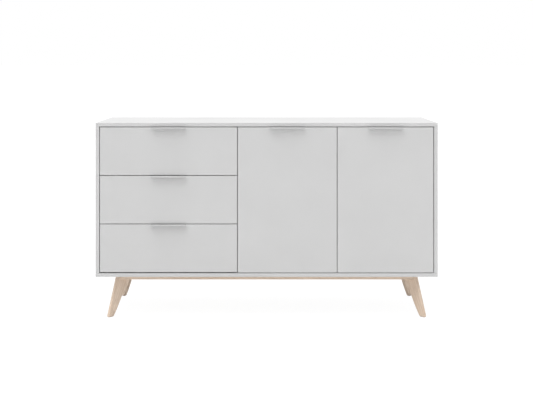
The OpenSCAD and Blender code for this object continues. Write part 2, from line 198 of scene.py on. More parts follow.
def bleached_oak(name, colour, along):
    """Oak planed, bleached and oiled matt: pale streaks along the grain, with fine pores and a dull skin."""
    material, tree, place = start_material(name)
    # Turned so that the grain runs along Z
    turn = Vector(along).to_track_quat("Z", "Y").inverted().to_euler()
    grain = add_node(tree, "ShaderNodeMapping", {}, {"Vector": place, "Rotation": tuple(turn)})
    drawn_out = add_node(
        tree, "ShaderNodeMapping", {}, {"Vector": grain.outputs[0], "Scale": (1.0, 1.0, 0.05)}
    )
    # Growth rings about 5 mm apart: the wave's period is 0.314 over its scale
    rings = add_node(
        tree, "ShaderNodeTexWave", {"bands_direction": "DIAGONAL"},
        {"Vector": drawn_out.outputs[0], "Scale": 0.314 / (5 * MM), "Distortion": 5.0, "Detail": 2.0,
         "Detail Scale": 0.6},
    )
    # Streaks of lighter and darker wood, about 9 mm across
    streaks = add_node(
        tree, "ShaderNodeTexNoise", {}, {"Vector": drawn_out.outputs[0], "Scale": per(9), "Detail": 4.0}
    )
    streak = add_node(
        tree, "ShaderNodeMapRange", {}, {"Value": streaks.outputs[0], "From Min": 0.32, "From Max": 0.68}
    )
    # Pores are about 0.3 mm across, drawn 1.3 mm across so that they show
    pores = add_node(
        tree, "ShaderNodeTexNoise", {}, {"Vector": drawn_out.outputs[0], "Scale": per(1.3), "Detail": 2.0}
    )
    pore = add_node(
        tree, "ShaderNodeMapRange", {}, {"Value": pores.outputs[0], "From Min": 0.56, "From Max": 0.72}
    )
    ringed = add_node(
        tree, "ShaderNodeMix", {"data_type": "RGBA"},
        {"Factor_Float": rings.outputs[1], "A_Color": shade(colour, 1.03), "B_Color": shade(colour, 0.95)},
    )
    tint = add_node(
        tree, "ShaderNodeMix", {"data_type": "RGBA"},
        {"Factor_Float": streak.outputs[0], "A_Color": (0.93, 0.9, 0.87, 1.0),
         "B_Color": (1.05, 1.06, 1.07, 1.0)},
    )
    streaked = add_node(
        tree, "ShaderNodeMix", {"data_type": "RGBA", "blend_type": "MULTIPLY"},
        {"Factor_Float": 1.0, "A_Color": output_of(ringed), "B_Color": output_of(tint)},
    )
    open_pores = add_node(
        tree, "ShaderNodeMix", {"data_type": "RGBA"},
        {"Factor_Float": pore.outputs[0], "A_Color": output_of(streaked),
         "B_Color": shade((colour[0], colour[1] * 0.95, colour[2] * 0.9), 0.78)},
    )
    dullness = add_node(
        tree, "ShaderNodeMapRange", {}, {"Value": pores.outputs[0], "To Min": 0.5, "To Max": 0.72}
    )
    sunk = add_node(
        tree, "ShaderNodeMath", {"operation": "SUBTRACT"}, {"Value": 1.0, "Value_001": pore.outputs[0]}
    )
    end_material(
        tree, sunk.outputs[0], 0.08,
        {"Base Color": output_of(open_pores), "Roughness": dullness.outputs[0], "IOR": 1.45},
    )
    return material


def white_melamine(name, colour):
    """Chipboard faced with melamine: a clean white film, pressed with a fine pearl texture."""
    material, tree, place = start_material(name)
    # The pearl is about 0.8 mm across, drawn 2 mm across so that it shows
    pearl = add_node(tree, "ShaderNodeTexNoise", {}, {"Vector": place, "Scale": per(2), "Detail": 1.0})
    # The film's white drifts slightly over about 90 mm
    drift = add_node(tree, "ShaderNodeTexNoise", {}, {"Vector": place, "Scale": per(90)})
    tone = add_node(
        tree, "ShaderNodeMix", {"data_type": "RGBA"},
        {"Factor_Float": drift.outputs[0], "A_Color": shade(colour, 0.97), "B_Color": shade(colour, 1.01)},
    )
    dullness = add_node(
        tree, "ShaderNodeMapRange", {}, {"Value": pearl.outputs[0], "To Min": 0.34, "To Max": 0.46}
    )
    end_material(
        tree, pearl.outputs[0], 0.03,
        {"Base Color": output_of(tone), "Roughness": dullness.outputs[0], "IOR": 1.5},
    )
    return material


def faced_hardboard(name, film, raw, raw_side):
    """Hardboard filmed white on one face: its raw face is brown, dull and flecked with fibres."""
    material, tree, place = start_material(name)
    facing = add_node(tree, "ShaderNodeTexCoord").outputs["Normal"]
    toward = add_node(
        tree, "ShaderNodeVectorMath", {"operation": "DOT_PRODUCT"}, {"Vector": facing, "Vector_001": raw_side}
    )
    is_raw = add_node(
        tree, "ShaderNodeMath", {"operation": "GREATER_THAN"},
        {"Value": toward.outputs["Value"], "Value_001": 0.5},
    )
    # Pressed fibres lie in flecks 0.5 to 2 mm across, drawn 3 mm across so that they show
    fibres = add_node(
        tree, "ShaderNodeTexNoise", {}, {"Vector": place, "Scale": per(3), "Detail": 5.0, "Roughness": 0.7}
    )
    fleck = add_node(
        tree, "ShaderNodeMapRange", {}, {"Value": fibres.outputs[0], "From Min": 0.3, "From Max": 0.7}
    )
    # The board's brown clouds over about 60 mm
    clouds = add_node(tree, "ShaderNodeTexNoise", {}, {"Vector": place, "Scale": per(60), "Detail": 2.0})
    brown = add_node(
        tree, "ShaderNodeMix", {"data_type": "RGBA"},
        {"Factor_Float": fleck.outputs[0], "A_Color": shade(raw, 0.84), "B_Color": shade(raw, 1.14)},
    )
    clouded = add_node(
        tree, "ShaderNodeMix", {"data_type": "RGBA"},
        {"Factor_Float": clouds.outputs[0], "A_Color": output_of(brown), "B_Color": shade(raw, 0.94)},
    )
    white = add_node(
        tree, "ShaderNodeMix", {"data_type": "RGBA"},
        {"Factor_Float": clouds.outputs[0], "A_Color": shade(film, 0.97), "B_Color": shade(film, 1.01)},
    )
    both = add_node(
        tree, "ShaderNodeMix", {"data_type": "RGBA"},
        {"Factor_Float": is_raw.outputs[0], "A_Color": output_of(white), "B_Color": output_of(clouded)},
    )
    dullness = add_node(
        tree, "ShaderNodeMapRange", {}, {"Value": is_raw.outputs[0], "To Min": 0.42, "To Max": 0.8}
    )
    end_material(
        tree, fibres.outputs[0], 0.03,
        {"Base Color": output_of(both), "Roughness": dullness.outputs[0], "IOR": 1.48},
    )
    return material


def zinc_plate(name, colour):
    """Pressed steel, zinc plated: a cool grey shine broken into faint crystals and drawing marks."""
    material, tree, place = start_material(name)
    # Zinc crystals, about 3 mm across
    crystals = add_node(tree, "ShaderNodeTexVoronoi", {}, {"Vector": place, "Scale": per(3)})
    crystal = add_node(
        tree, "ShaderNodeSeparateColor", {}, {"Color": crystals.outputs["Color"]}
    )
    tone = add_node(
        tree, "ShaderNodeMix", {"data_type": "RGBA"},
        {"Factor_Float": crystal.outputs[0], "A_Color": shade(colour, 0.93), "B_Color": shade(colour, 1.05)},
    )
    # Marks left by the press, 0.2 mm across, drawn 1 mm across so that they show
    marks = add_node(tree, "ShaderNodeTexNoise", {}, {"Vector": place, "Scale": per(1), "Detail": 3.0})
    dullness = add_node(
        tree, "ShaderNodeMapRange", {}, {"Value": marks.outputs[0], "To Min": 0.24, "To Max": 0.44}
    )
    end_material(
        tree, marks.outputs[0], 0.01,
        {"Base Color": output_of(tone), "Roughness": dullness.outputs[0], "Metallic": 1.0},
    )
    return material


def moulded_plastic(name, colour):
    """Nylon, injection moulded: a soft, dull skin with the fine grain of its mould."""
    material, tree, place = start_material(name)
    # The mould's spark grain is about 0.3 mm across, drawn 1 mm across so that it shows
    spark = add_node(tree, "ShaderNodeTexNoise", {}, {"Vector": place, "Scale": per(1), "Detail": 2.0})
    tone = add_node(
        tree, "ShaderNodeMix", {"data_type": "RGBA"},
        {"Factor_Float": spark.outputs[0], "A_Color": shade(colour, 0.96), "B_Color": shade(colour, 1.02)},
    )
    dullness = add_node(
        tree, "ShaderNodeMapRange", {}, {"Value": spark.outputs[0], "To Min": 0.38, "To Max": 0.54}
    )
    end_material(
        tree, spark.outputs[0], 0.02,
        {"Base Color": output_of(tone), "Roughness": dullness.outputs[0], "IOR": 1.53},
    )
    return material


# --- Shapes ---


def smoothing():
    """A node group that drops imported normals and keeps only the edges over SHARP_OVER sharp."""
    group = bpy.data.node_groups.get("smooth_by_angle")
    if group:
        return group
    group = bpy.data.node_groups.new("smooth_by_angle", "GeometryNodeTree")
    group.interface.new_socket("Mesh", in_out="INPUT", socket_type="NodeSocketGeometry")
    group.interface.new_socket("Mesh", in_out="OUTPUT", socket_type="NodeSocketGeometry")
    source = add_node(group, "NodeGroupInput")
    plain = add_node(
        group, "GeometryNodeRemoveAttribute", {}, {"Geometry": source.outputs[0], "Name": "custom_normal"}
    )
    faces = add_node(
        group, "GeometryNodeSetShadeSmooth", {"domain": "FACE"},
        {"Geometry": plain.outputs[0], "Shade Smooth": True},
    )
    angle = add_node(group, "GeometryNodeInputMeshEdgeAngle")
    sharp = add_node(
        group, "FunctionNodeCompare", {"operation": "GREATER_THAN"},
        {"A": angle.outputs["Unsigned Angle"], "B": SHARP_OVER},
    )
    edges = add_node(
        group, "GeometryNodeSetShadeSmooth", {"domain": "EDGE"},
        {"Geometry": faces.outputs[0], "Selection": output_of(sharp), "Shade Smooth": False},
    )
    add_node(group, "NodeGroupOutput", {}, {group.interface.items_tree[0].identifier: edges.outputs[0]})
    return group


def soften(piece, edge, segments=2):
    """Rounds the piece's edges and shades its flat faces flat."""
    if edge > 0:
        bevel = piece.modifiers.new("rounded_edges", "BEVEL")
        bevel.width = edge
        bevel.segments = segments
        bevel.limit_method = "ANGLE"
        bevel.angle_limit = ROUND_OVER
        bevel.loop_slide = False
        bevel.use_clamp_overlap = False
    smooth = piece.modifiers.new("smooth_shading", "NODES")
    smooth.node_group = smoothing()
    normals = piece.modifiers.new("flat_faces", "WEIGHTED_NORMAL")
    normals.keep_sharp = True
    normals.weight = 100


def dress(names, material, edge=0.0, segments=2):
    """Gives CAD nodes their material and rounds their edges."""
    for name in names:
        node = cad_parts[name]
        for slot in node.material_slots:
            slot.material = material
        weld = node.modifiers.new("joined_corners", "WELD")
        weld.merge_threshold = WELD_WITHIN
        whole = node.modifiers.new("whole_faces", "DECIMATE")
        whole.decimate_type = "DISSOLVE"
        whole.angle_limit = FLAT_WITHIN
        soften(node, edge, segments)


def add_piece(name, mesh, material, body, edge=0.0, metal=0.0):
    """Makes a piece from a bmesh, in the row frame, riding on a body; metal thickens a sheet."""
    bmesh.ops.recalc_face_normals(mesh, faces=mesh.faces)
    data = bpy.data.meshes.new(name)
    mesh.to_mesh(data)
    mesh.free()
    piece = bpy.data.objects.new(name, data)
    bpy.context.scene.collection.objects.link(piece)
    data.materials.append(material)
    if metal > 0:
        sheet = piece.modifiers.new("sheet_metal", "SOLIDIFY")
        sheet.thickness = metal
        sheet.offset = 0.0
        sheet.use_even_offset = True
    soften(piece, edge)
    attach(piece, body)
    return piece


def turned(mesh, spot, facing, profile):
    """A turned form along facing. Each ring is a radius, a height and the height in the cross recess."""
    turn = Vector(facing).to_track_quat("Z", "Y").to_matrix()
    rings = []
    for radius, height, recess in profile:
        count = TURNED_SIDES if radius > 0 else 1
        ring = []
        for k in range(count):
            angle = 2 * math.pi * k / TURNED_SIDES
            in_arm = (k + 1) % (TURNED_SIDES // 4) <= 2
            level = recess if in_arm else height
            point = Vector((radius * math.cos(angle), radius * math.sin(angle), level))
            ring.append(mesh.verts.new(Vector(spot) + turn @ point))
        rings.append(ring)
    for low, high in zip(rings, rings[1:]):
        for k in range(TURNED_SIDES):
            corners = [low[k % len(low)], low[(k + 1) % len(low)]]
            corners += [high[(k + 1) % len(high)], high[k % len(high)]]
            # Where a ring is a single point, the face is a triangle
            mesh.faces.new(list(dict.fromkeys(corners)))


def screw(mesh, spot, facing, radius, height):
    """A pan head screw with a cross recess, seated at spot."""
    deep = 0.35 * height
    turned(mesh, spot, facing, [
        (0, 0, 0),
        (radius, 0, 0),
        (radius, 0.35 * height, 0.35 * height),
        (0.88 * radius, 0.8 * height, 0.8 * height),
        (0.64 * radius, height, height),
        (0.58 * radius, height, deep),
        (0.24 * radius, height, deep),
        (0.14 * radius, deep, deep),
        (0, deep, deep),
    ])


def extruded(mesh, outline, spot, along_a, along_b, length):
    """A solid whose outline lies in the plane of two directions and runs on by length, both signed."""
    a, b = Vector(along_a), Vector(along_b)
    run = a.cross(b) * length
    low = [mesh.verts.new(Vector(spot) + a * p[0] + b * p[1]) for p in outline]
    high = [mesh.verts.new(v.co + run) for v in low]
    mesh.faces.new(low)
    mesh.faces.new(high)
    for k in range(len(outline)):
        following = (k + 1) % len(outline)
        mesh.faces.new([low[k], low[following], high[following], high[k]])


def ball(mesh, spot, radius):
    """A bearing ball."""
    bmesh.ops.create_icosphere(mesh, subdivisions=2, radius=radius, matrix=Matrix.Translation(spot))


def bent_strip(mesh, low, high, lip, corner, bend, metal):
    """The middle surface of a handle: a lip, a plate over the front's edge and a flange behind it."""
    front = low.y + metal / 2
    back = high.y - metal / 2
    top = high.z - metal / 2
    path = []
    steps = 6
    for k in range(steps + 1):
        turn = math.pi / 2 * k / steps
        rise = corner * (1 - math.cos(turn))
        path.append((front, high.z - lip + rise, corner * (1 - math.sin(turn))))
    for k in range(steps + 1):
        turn = math.pi / 2 * k / steps
        path.append((front + bend * (1 - math.cos(turn)), top - bend * (1 - math.sin(turn)), 0.0))
    # The bend behind the front is tighter than the one at the lip
    tight = 0.6 * bend
    for k in range(steps + 1):
        turn = math.pi / 2 * k / steps
        path.append((back - tight * (1 - math.sin(turn)), top - tight * (1 - math.cos(turn)), 0.0))
    for k in range(steps + 1):
        turn = math.pi / 2 * k / steps
        rise = corner * (1 - math.sin(turn))
        path.append((back, low.z + rise, corner * (1 - math.cos(turn))))
    rows = []
    for y, z, inset in path:
        rows.append([mesh.verts.new((x, y, z)) for x in (low.x + inset, high.x - inset)])
    for one, two in zip(rows, rows[1:]):
        mesh.faces.new([one[0], one[1], two[1], two[0]])


# --- Sizes and colours a user may change ---


def length(name, text, default_mm):
    """A length property, in metres, whose default is given in millimetres."""
    return bpy.props.FloatProperty(
        name=name, description=text, default=default_mm * MM, min=0.0, subtype="DISTANCE", unit="LENGTH",
        precision=5,
    )


def colour(name, text, hex_colour):
    """A colour property whose default is an sRGB hex colour."""
    return bpy.props.FloatVectorProperty(
        name=name, description=text, default=linear(hex_colour), min=0.0, max=1.0, size=3, subtype="COLOR"
    )


class SideboardColours(bpy.types.PropertyGroup):
    body: colour("Body", "Matt lacquer of the top, bottom, sides and dividers", "#C8C8C8")
    fronts: colour("Fronts", "Matt lacquer of the drawer fronts and doors", "#C8C8C8")
    # Partly the handles' own powder coat grey and partly painted shade: it is set darker than the fronts'
    # grey so that the handles, and the fronts beside them, read darker, as the shade around the handles does
    handles: colour("Handles", "Powder coat of the handles", "#BCBCBC")
    oak: colour("Oak", "Bleached oak of the legs and rails", "#DDC9B6")
    melamine: colour("Melamine", "White film of the shelves and drawer boxes", "#D9D9D8")
    hardboard: colour("Hardboard", "Raw face of the back sheets and drawer bottoms", "#8C7359")
    zinc: colour("Zinc", "Zinc plate of the fittings", "#C9CBCE")
    plastic: colour("Plastic", "Moulded stops, collars, levers and joint strip", "#D6D6D3")
    glides: colour("Glides", "Moulded glides under the legs", "#B9A691")


class SideboardSizes(bpy.types.PropertyGroup):
    board_edge: length("Board edge", "Rounding of the body boards' edges", 0.7)
    front_edge: length("Front edge", "Rounding of the edges of drawer fronts and doors", 0.55)
    leg_edge: length("Leg edge", "Rounding of the legs' edges", 2.0)
    rail_edge: length("Rail edge", "Rounding of the rails' edges", 1.5)
    box_edge: length("Box edge", "Rounding of shelf and drawer box edges", 0.5)
    fitting_edge: length("Fitting edge", "Rounding of the edges of metal fittings", 0.25)
    handle_metal: length("Handle metal", "Thickness of the handles' steel", 1.2)
    handle_lip: length("Handle lip", "Height of the lip at a handle's outer edge", 6.5)
    handle_corner: length("Handle corner", "Radius of the corners of a handle's lip and flange", 2.5)
    handle_bend: length("Handle bend", "Middle radius of a handle's front bend", 1.8)
    screw_radius: length("Screw radius", "Radius of the screws' pan heads", 3.2)
    screw_height: length("Screw height", "Height of the screws' pan heads", 1.5)
    strip_width: length("Joint strip", "Width of the strip over the joint of the back sheets", 22.0)
    camera_back: length("Camera distance", "Distance of the camera in front of the fronts", 3735.0)
    camera_up: length("Camera height", "Height of the camera above the floor", 1116.0)


# --- Operators ---


class SIDEBOARD_OT_body(bpy.types.Operator):
    """Finish the lacquered boards of the body"""

    bl_idname = "sideboard.body"
    bl_label = "Body boards"

    def execute(self, context):
        finish = matt_lacquer("matt_lacquered_board", context.scene.sideboard_colours.body)
        dress(BODY_BOARDS, finish, context.scene.sideboard_sizes.board_edge)
        return {"FINISHED"}


class SIDEBOARD_OT_fronts(bpy.types.Operator):
    """Finish the drawer fronts and doors"""

    bl_idname = "sideboard.fronts"
    bl_label = "Drawer fronts and doors"

    def execute(self, context):
        finish = matt_lacquer("matt_lacquered_fronts", context.scene.sideboard_colours.fronts)
        names = [f"{drawer}_front" for drawer in DRAWERS] + [f"{door}_panel" for door in DOORS]
        dress(names, finish, context.scene.sideboard_sizes.front_edge)
        return {"FINISHED"}


class SIDEBOARD_OT_handles(bpy.types.Operator):
    """Make the five handles of bent, powder coated steel, with the screws in their flanges"""

    bl_idname = "sideboard.handles"
    bl_label = "Handles"

    def execute(self, context):
        sizes = context.scene.sideboard_sizes
        # The coat's grey carries painted shade: it is darker than the fronts' so that the handles and their
        # surroundings read as shaded
        coat = powder_coat("powder_coated_steel", context.scene.sideboard_colours.handles)
        zinc = bpy.data.materials["zinc_plated_steel"]
        strip_edge = 0.4 * MM
        screw_out = 50 * MM
        screw_up = 9 * MM
        for body in DRAWERS + DOORS:
            low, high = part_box(f"{body}_handle")
            strip = bmesh.new()
            bent_strip(
                strip, low, high, sizes.handle_lip, sizes.handle_corner, sizes.handle_bend, sizes.handle_metal
            )
            handle = add_piece(
                f"handle_{body}", strip, coat, body, strip_edge, sizes.handle_metal
            )
            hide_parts(f"{body}_handle")
            screws = bmesh.new()
            middle = (low.x + high.x) / 2
            for side in (-1, 1):
                spot = (middle + side * screw_out, high.y, low.z + screw_up)
                screw(screws, spot, (0, 1, 0), sizes.screw_radius, sizes.screw_height)
            add_piece(f"handle_screws_{body}", screws, zinc, body)
        return {"FINISHED"}


class SIDEBOARD_OT_base(bpy.types.Operator):
    """Finish the oak legs and rails, and put the screws under the rails"""

    bl_idname = "sideboard.base"
    bl_label = "Oak base"

    def execute(self, context):
        colours = context.scene.sideboard_colours
        sizes = context.scene.sideboard_sizes
        for name, (side, end) in LEGS.items():
            low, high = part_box(name)
            # A leg leans inwards along the diagonal as it rises, and so does its grain
            lean = LEG_LEAN * DIAGONAL
            along = (-side * lean, -end * lean, high.z - low.z)
            dress([name], bleached_oak(f"bleached_oak_{name}", colours.oak, along), sizes.leg_edge, 3)
        dress(LONG_RAILS, bleached_oak("bleached_oak_long_rails", colours.oak, (1, 0, 0)), sizes.rail_edge)
        dress(SHORT_RAILS, bleached_oak("bleached_oak_short_rails", colours.oak, (0, 1, 0)), sizes.rail_edge)
        # Three screws in a rail: one in the middle and one this share of its length to each side
        share = 0.36
        screw_height = 0.6 * sizes.screw_height
        screws = bmesh.new()
        for name in LONG_RAILS + SHORT_RAILS:
            low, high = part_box(name)
            middle = (low + high) / 2
            reach = (high - low) * share
            for k in (-1, 0, 1):
                is_long = name in LONG_RAILS
                step = Vector((k * reach.x if is_long else 0, 0 if is_long else k * reach.y, 0))
                spot = Vector((middle.x, middle.y, low.z)) + step
                screw(screws, spot, (0, 0, -1), sizes.screw_radius, screw_height)
        add_piece("rail_screws", screws, bpy.data.materials["zinc_plated_steel"], "carcass")
        return {"FINISHED"}


class SIDEBOARD_OT_boxes(bpy.types.Operator):
    """Finish the drawer boxes and shelves, and put in the screws that hold the boxes' backs"""

    bl_idname = "sideboard.boxes"
    bl_label = "Drawer boxes and shelves"

    def execute(self, context):
        colours = context.scene.sideboard_colours
        sizes = context.scene.sideboard_sizes
        film = white_melamine("white_melamine", colours.melamine)
        sheet = faced_hardboard("faced_hardboard_bottoms", colours.melamine, colours.hardboard, (0, 0, -1))
        dress(("shelf_left", "shelf_right"), film, sizes.box_edge)
        sheet_edge = 0.2 * MM
        screw_height = 0.7 * sizes.screw_height
        # Two screws through each side into the edge of the box's back, half its thickness from the end
        in_back = 6 * MM
        from_top = (22 * MM, 62 * MM)
        for body in DRAWERS:
            dress([f"{body}_{part}" for part in ("side_left", "side_right", "back")], film, sizes.box_edge)
            dress([f"{body}_bottom"], sheet, sheet_edge, 1)
            screws = bmesh.new()
            for name, side in ((f"{body}_side_left", -1), (f"{body}_side_right", 1)):
                low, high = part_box(name)
                for down in from_top:
                    spot = (low.x if side < 0 else high.x, high.y - in_back, high.z - down)
                    screw(screws, spot, (side, 0, 0), sizes.screw_radius, screw_height)
            add_piece(f"box_screws_{body}", screws, bpy.data.materials["zinc_plated_steel"], body)
        return {"FINISHED"}


class SIDEBOARD_OT_back(bpy.types.Operator):
    """Finish the back sheets, and make the strip over their joint and the screws that hold them"""

    bl_idname = "sideboard.back"
    bl_label = "Back"

    def execute(self, context):
        colours = context.scene.sideboard_colours
        sizes = context.scene.sideboard_sizes
        sheet = faced_hardboard("faced_hardboard_back", colours.melamine, colours.hardboard, (0, 1, 0))
        sheet_edge = 0.2 * MM
        dress(("back_sheet_left", "back_sheet_right"), sheet, sheet_edge, 1)
        low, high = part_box("divider_left")
        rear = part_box("back_sheet_left")[1].y
        middle = (low.x + high.x) / 2
        half = sizes.strip_width / 2
        thick = 1.6 * MM
        # The strip is flat in the middle, and thins out towards both edges
        outline = [
            (-half, 0), (half, 0), (half, 0.3 * thick), (half - 2 * MM, 0.85 * thick), (half - 4 * MM, thick),
            (4 * MM - half, thick), (2 * MM - half, 0.85 * thick), (-half, 0.3 * thick),
        ]
        end_gap = 1 * MM
        strip_edge = 0.2 * MM
        run = high.z - low.z - 2 * end_gap
        nylon = bpy.data.materials["moulded_nylon"]
        strip = bmesh.new()
        extruded(strip, outline, (middle, rear, low.z + end_gap), (1, 0, 0), (0, 1, 0), run)
        add_piece("back_joint_strip", strip, nylon, "carcass", strip_edge)
        screws = bmesh.new()
        right_low, right_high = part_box("divider_right")
        rows = ((middle, rear + thick), ((right_low.x + right_high.x) / 2, rear))
        count = 5
        from_end = 40 * MM
        for x, y in rows:
            for k in range(count):
                z = low.z + from_end + (high.z - low.z - 2 * from_end) * k / (count - 1)
                screw(screws, (x, y, z), (0, 1, 0), sizes.screw_radius, sizes.screw_height)
        add_piece("back_screws", screws, bpy.data.materials["zinc_plated_steel"], "carcass")
        return {"FINISHED"}


class SIDEBOARD_OT_runners(bpy.types.Operator):
    """Finish the drawer runners, and make their ball cages, screws and release levers"""

    bl_idname = "sideboard.runners"
    bl_label = "Drawer runners"

    def execute(self, context):
        sizes = context.scene.sideboard_sizes
        zinc = bpy.data.materials["zinc_plated_steel"]
        nylon = bpy.data.materials["moulded_nylon"]
        dress(["runner_rails_fixed"], zinc, sizes.fitting_edge)
        wall_low, wall_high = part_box("runner_rails_fixed")
        walls = ((wall_low.x, 1), (wall_high.x, -1))
        start = wall_low.y
        # Rows of balls between fixed and middle members, then between middle and inner members: the
        # distance from the wall, from the runner's front end and from its middle line, and a ball's radius
        cage_rows = (
            (6.2 * MM, 205 * MM, 19.15 * MM, 2.05 * MM),
            (9.8 * MM, 20 * MM, 14.0 * MM, 1.7 * MM),
        )
        # A release lever, seen from the side: a bar with a thumb tab at its end
        lever = [
            (a * MM, b * MM) for a, b in (
                (0, -2), (6, -4), (22, -4), (30, -7), (34, -7), (34, -4), (38, 0), (34, 5), (26, 7), (4, 4),
            )
        ]
        lever_out = 9.4 * MM
        lever_from_end = 44 * MM
        lever_thick = 1.8 * MM
        lever_edge = 0.3 * MM
        rail_metal = 1.2 * MM
        screws_along = (37 * MM, 165 * MM, 315 * MM)
        screw_radius = 3.6 * MM
        screw_height = 1.4 * MM
        rail_screws = bmesh.new()
        for body in DRAWERS:
            dress([f"{body}_runner_middle", f"{body}_runner_inner"], zinc, sizes.fitting_edge)
            low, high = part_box(f"{body}_runner_inner")
            level = (low.z + high.z) / 2
            cages = bmesh.new()
            levers = bmesh.new()
            for wall, side in walls:
                for out, along, up, radius in cage_rows:
                    for end in (-1, 1):
                        spot = (wall + side * out, start + along, level + end * up)
                        self.cage(cages, spot, radius)
                spot = (wall + side * lever_out, high.y - lever_from_end, level)
                extruded(levers, lever, spot, (0, 1, 0), (0, 0, 1), side * lever_thick)
                for along in screws_along:
                    spot = (wall + side * rail_metal, start + along, level)
                    screw(rail_screws, spot, (side, 0, 0), screw_radius, screw_height)
            middle_body = body.replace("drawer_", "runner_middle_")
            add_piece(f"ball_cages_{body}", cages, zinc, middle_body)
            add_piece(f"release_levers_{body}", levers, nylon, body, lever_edge)
        add_piece("runner_screws", rail_screws, zinc, "carcass")
        return {"FINISHED"}

    def cage(self, mesh, spot, radius):
        """A strip that holds a row of balls, running back from spot."""
        x, y, z = spot
        balls = 11
        pitch = 12 * MM
        half_thick = 0.4 * MM
        half_high = 0.75 * radius
        outline = [
            (-half_thick, -half_high), (half_thick, -half_high),
            (half_thick, half_high), (-half_thick, half_high),
        ]
        run = balls * pitch
        extruded(mesh, outline, (x, y + run, z), (1, 0, 0), (0, 0, 1), run)
        for k in range(balls):
            ball(mesh, (x, y + pitch * (k + 0.5), z), radius)


class SIDEBOARD_OT_hinges(bpy.types.Operator):
    """Finish the hinges, and make the covers of their arms and all their screws"""

    bl_idname = "sideboard.hinges"
    bl_label = "Hinges"

    def execute(self, context):
        sizes = context.scene.sideboard_sizes
        zinc = bpy.data.materials["zinc_plated_steel"]
        dress(("hinge_arms", "hinge_plates", "door_left_hinge_cups", "door_right_hinge_cups"), zinc,
              sizes.fitting_edge)
        plate_low, plate_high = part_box("hinge_plates")
        # Middles of the hinges from the door's ends, and of the cups from its edge
        hinge_in = 100 * MM
        cup_in = 22 * MM
        # A pressed cover over an arm, seen along the arm: foot and deck above the board, and half its width
        foot, deck, half, metal, bend = 2.2, 8.0, 8.0, 1, 1.5
        cover = [
            (a * MM, b * MM) for a, b in (
                (-half, foot), (-half, deck - bend), (bend - half, deck), (half - bend, deck),
                (half, deck - bend), (half, foot), (half - metal, foot), (half - metal, deck - metal),
                (metal - half, deck - metal), (metal - half, foot),
            )
        ]
        cover_start = plate_low.y - 3 * MM
        cover_run = 38 * MM
        cover_edge = 0.3 * MM
        # Place along the cover and radius of the two screws in it
        cover_screws = ((9 * MM, 3.0 * MM), (26 * MM, 3.6 * MM))
        cover_screw_height = 1.1 * MM
        # Screws in a plate's wings: from the board, the plate's front and its middle, then radius and height
        plate_out, plate_along, plate_up, plate_radius, plate_height = (
            3.5 * MM, 13 * MM, 16 * MM, 3.7 * MM, 0.8 * MM
        )
        # Screws in a cup's wings: from the middle, radius and height
        cup_up, cup_radius, cup_height = 21.5 * MM, 3.2 * MM, 0.7 * MM
        covers = bmesh.new()
        screws = bmesh.new()
        for door, face, side in ((DOORS[0], plate_low.x, 1), (DOORS[1], plate_high.x, -1)):
            low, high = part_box(f"{door}_panel")
            cup_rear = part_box(f"{door}_hinge_cups")[1].y
            cup_x = low.x + cup_in if side > 0 else high.x - cup_in
            cup_screws = bmesh.new()
            for z in (low.z + hinge_in, high.z - hinge_in):
                extruded(covers, cover, (face, cover_start, z), (0, 0, 1), (side, 0, 0), cover_run)
                for along, radius in cover_screws:
                    spot = (face + side * deck * MM, cover_start + along, z)
                    screw(screws, spot, (side, 0, 0), radius, cover_screw_height)
                for end in (-1, 1):
                    spot = (face + side * plate_out, plate_low.y + plate_along, z + end * plate_up)
                    screw(screws, spot, (side, 0, 0), plate_radius, plate_height)
                    spot = (cup_x, cup_rear, z + end * cup_up)
                    screw(cup_screws, spot, (0, 1, 0), cup_radius, cup_height)
            add_piece(f"cup_screws_{door}", cup_screws, zinc, door)
        add_piece("hinge_covers", covers, zinc, "carcass", cover_edge)
        add_piece("hinge_screws", screws, zinc, "carcass")
        return {"FINISHED"}


class SIDEBOARD_OT_fittings(bpy.types.Operator):
    """Make the metal and nylon finishes, and finish the cams, bolts, pins, glides and stops"""

    bl_idname = "sideboard.fittings"
    bl_label = "Fittings"

    def execute(self, context):
        colours = context.scene.sideboard_colours
        sizes = context.scene.sideboard_sizes
        zinc = zinc_plate("zinc_plated_steel", colours.zinc)
        nylon = moulded_plastic("moulded_nylon", colours.plastic)
        dress(("cam_locks", "cam_bolts", "shelf_pins", "leg_bolts"), zinc, sizes.fitting_edge)
        stop_edge = 0.8 * MM
        glide_edge = 0.5 * MM
        dress(["door_stops"], nylon, stop_edge)
        dress(["leg_glides"], moulded_plastic("moulded_beige_nylon", colours.glides), glide_edge)
        pin_low, pin_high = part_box("shelf_pins")
        collars = bmesh.new()
        bays = (
            (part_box("divider_left")[1].x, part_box("divider_right")[0].x),
            (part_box("divider_right")[1].x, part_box("side_right")[0].x),
        )
        level = (pin_low.z + pin_high.z) / 2
        radius = (pin_high.z - pin_low.z) / 2
        # A collar: a flat disc round the pin, with a sloping rim
        rim, thick = 0.5 * MM, 0.9 * MM
        collar = [
            (0, 0, 0), (2 * radius, 0, 0), (2 * radius, rim, rim), (1.7 * radius, thick, thick),
            (0, thick, thick),
        ]
        for left, right in bays:
            for x, side in ((left, 1), (right, -1)):
                for y in (pin_low.y + radius, pin_high.y - radius):
                    turned(collars, (x, y, level), (side, 0, 0), collar)
        add_piece("pin_collars", collars, nylon, "carcass")
        return {"FINISHED"}


